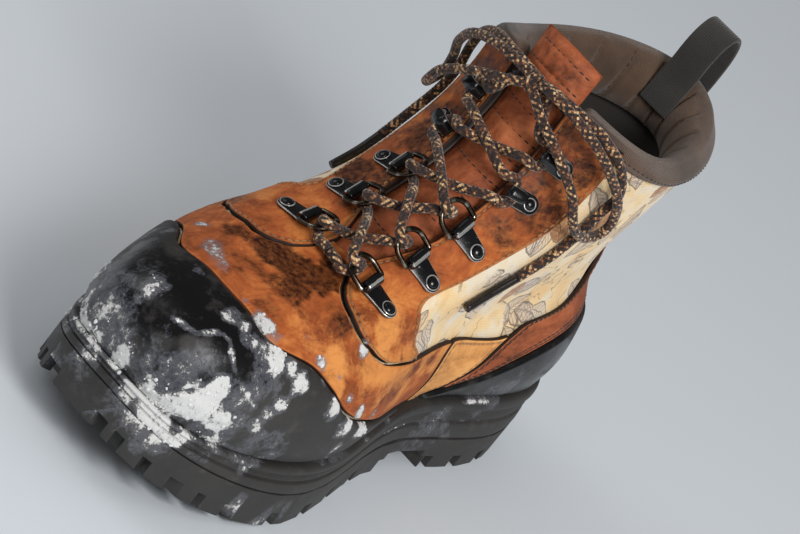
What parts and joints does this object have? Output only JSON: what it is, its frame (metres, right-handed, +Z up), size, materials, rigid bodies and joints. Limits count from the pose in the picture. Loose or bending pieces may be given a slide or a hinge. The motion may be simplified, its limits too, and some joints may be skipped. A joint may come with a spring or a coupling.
{
  "type": "hiking boot",
  "caption": "Lace-up hiking boot for the right foot, with a lugged rubber sole, toe and heel caps, leather overlays on a printed textile upper, and D-ring and hook lacing.",
  "frame": {"origin": "on the ground under the middle of the boot's bounding box", "axes": "toe towards -Y, heel towards +Y, inner (medial) side of the right foot towards +X, +Z up"},
  "size_m": [0.1129, 0.306, 0.1978],
  "materials": {
    "black_rubber": "matt, lightly scuffed",
    "sole_rubber": "matt",
    "footbed_fabric": "brushed",
    "printed_textile": "woven, with a woodland print",
    "tan_leather": "oiled nubuck",
    "brown_leather": "oiled nubuck",
    "collar_padding": "padded, soft",
    "webbing": "woven",
    "black_metal": "semi-gloss",
    "ring_wire": "satin",
    "lace_cord": "braided, flecked",
    "aglet_plastic": "gloss"
  },
  "bodies": {
    "root": {"outsole": "black_rubber", "toe_cap": "black_rubber", "heel_cap": "black_rubber", "midsole": "sole_rubber", "footbed": "footbed_fabric", "forefoot_textile": "printed_textile", "medial_textile": "printed_textile", "lateral_textile": "printed_textile", "medial_shaft_textile": "printed_textile", "lateral_shaft_textile": "printed_textile", "heel_textile": "printed_textile", "vamp": "tan_leather", "medial_facing": "tan_leather", "lateral_facing": "tan_leather", "backstay": "tan_leather", "medial_foxing": "tan_leather", "lateral_foxing": "tan_leather", "heel_counter": "brown_leather", "collar": "collar_padding", "tongue": "collar_padding", "pull_loop": "webbing", "medial_clip_1": "black_metal", "medial_ring_1": "ring_wire", "medial_clip_2": "black_metal", "medial_ring_2": "ring_wire", "medial_clip_3": "black_metal", "medial_ring_3": "ring_wire", "medial_hook_1": "black_metal", "medial_hook_2": "black_metal", "lateral_clip_1": "black_metal", "lateral_ring_1": "ring_wire", "lateral_clip_2": "black_metal", "lateral_ring_2": "ring_wire", "lateral_clip_3": "black_metal", "lateral_ring_3": "ring_wire", "lateral_hook_1": "black_metal", "lateral_hook_2": "black_metal", "lace_medial_half": "lace_cord", "lace_lateral_half": "lace_cord", "lace_knot": "lace_cord", "medial_bow": "lace_cord", "lateral_bow": "lace_cord", "medial_lace_end": "lace_cord", "lateral_lace_end": "lace_cord", "medial_aglet": "aglet_plastic", "lateral_aglet": "aglet_plastic"}
  },
  "joints": []
}
